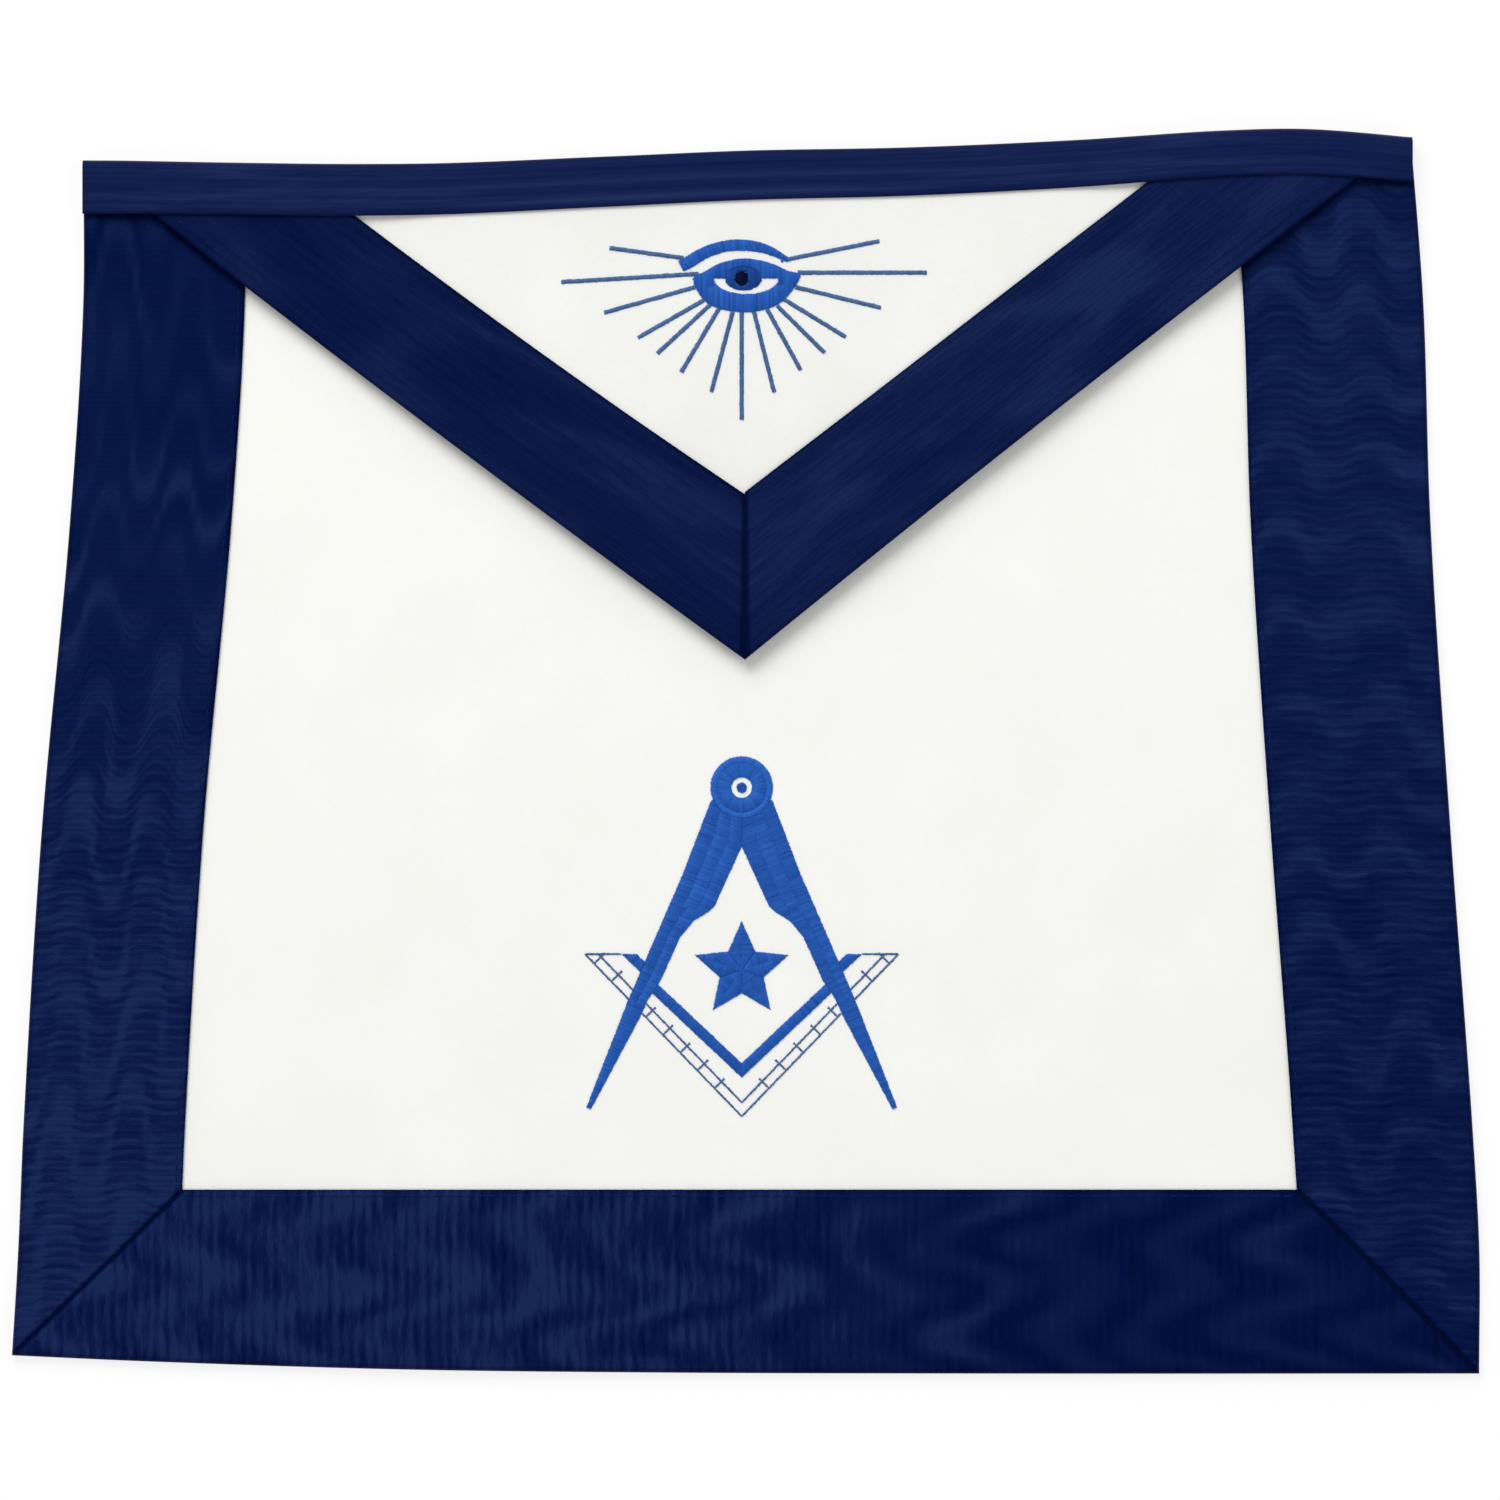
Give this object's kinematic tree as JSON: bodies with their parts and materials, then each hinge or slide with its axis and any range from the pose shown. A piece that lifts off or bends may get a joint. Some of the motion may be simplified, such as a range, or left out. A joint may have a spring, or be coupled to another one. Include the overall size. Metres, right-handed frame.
{
  "type": "masonic apron",
  "caption": "White lodge apron lying flat, with navy ribbon borders, a pointed flap under the waistband, and a blue embroidered eye, compasses, square and star.",
  "frame": {"origin": "middle of the underside, on the surface that the apron lies on", "axes": "+X across the apron along its longest extent, to the right as seen from the front; +Y up the apron to the waistband; +Z out of its face"},
  "size_m": [0.4268, 0.3618, 0.0088],
  "materials": {
    "moire_ribbon": "navy moire grosgrain ribbon with fine cross ribs and a watered sheen",
    "white_panel": "smooth off-white leather-look sheet with a faint grain",
    "blue_thread": "royal blue satin-stitch embroidery thread with a silky sheen",
    "dark_thread": "near-black navy embroidery thread"
  },
  "bodies": {
    "root": {"body_panel": "white_panel", "border_left": "moire_ribbon", "border_right": "moire_ribbon", "border_bottom": "moire_ribbon", "flap_panel": "white_panel", "flap_border_left": "moire_ribbon", "flap_border_right": "moire_ribbon", "waistband": "moire_ribbon", "eyelids": "blue_thread", "iris": "blue_thread", "pupil": "dark_thread", "brow": "blue_thread", "ray_01": "blue_thread", "ray_02": "blue_thread", "ray_03": "blue_thread", "ray_04": "blue_thread", "ray_05": "blue_thread", "ray_06": "blue_thread", "ray_07": "blue_thread", "ray_08": "blue_thread", "ray_09": "blue_thread", "ray_10": "blue_thread", "ray_11": "blue_thread", "ray_12": "blue_thread", "ray_13": "blue_thread", "ray_14": "blue_thread", "ray_15": "blue_thread", "compass_hinge_disc": "blue_thread", "compass_leg_left": "blue_thread", "compass_leg_right": "blue_thread", "compass_pivot": "blue_thread", "square_edge_left": "blue_thread", "square_edge_middle": "blue_thread", "square_edge_right": "blue_thread", "square_scale_left": "blue_thread", "square_scale_middle": "blue_thread", "square_scale_right": "blue_thread", "star": "blue_thread"}
  },
  "joints": []
}
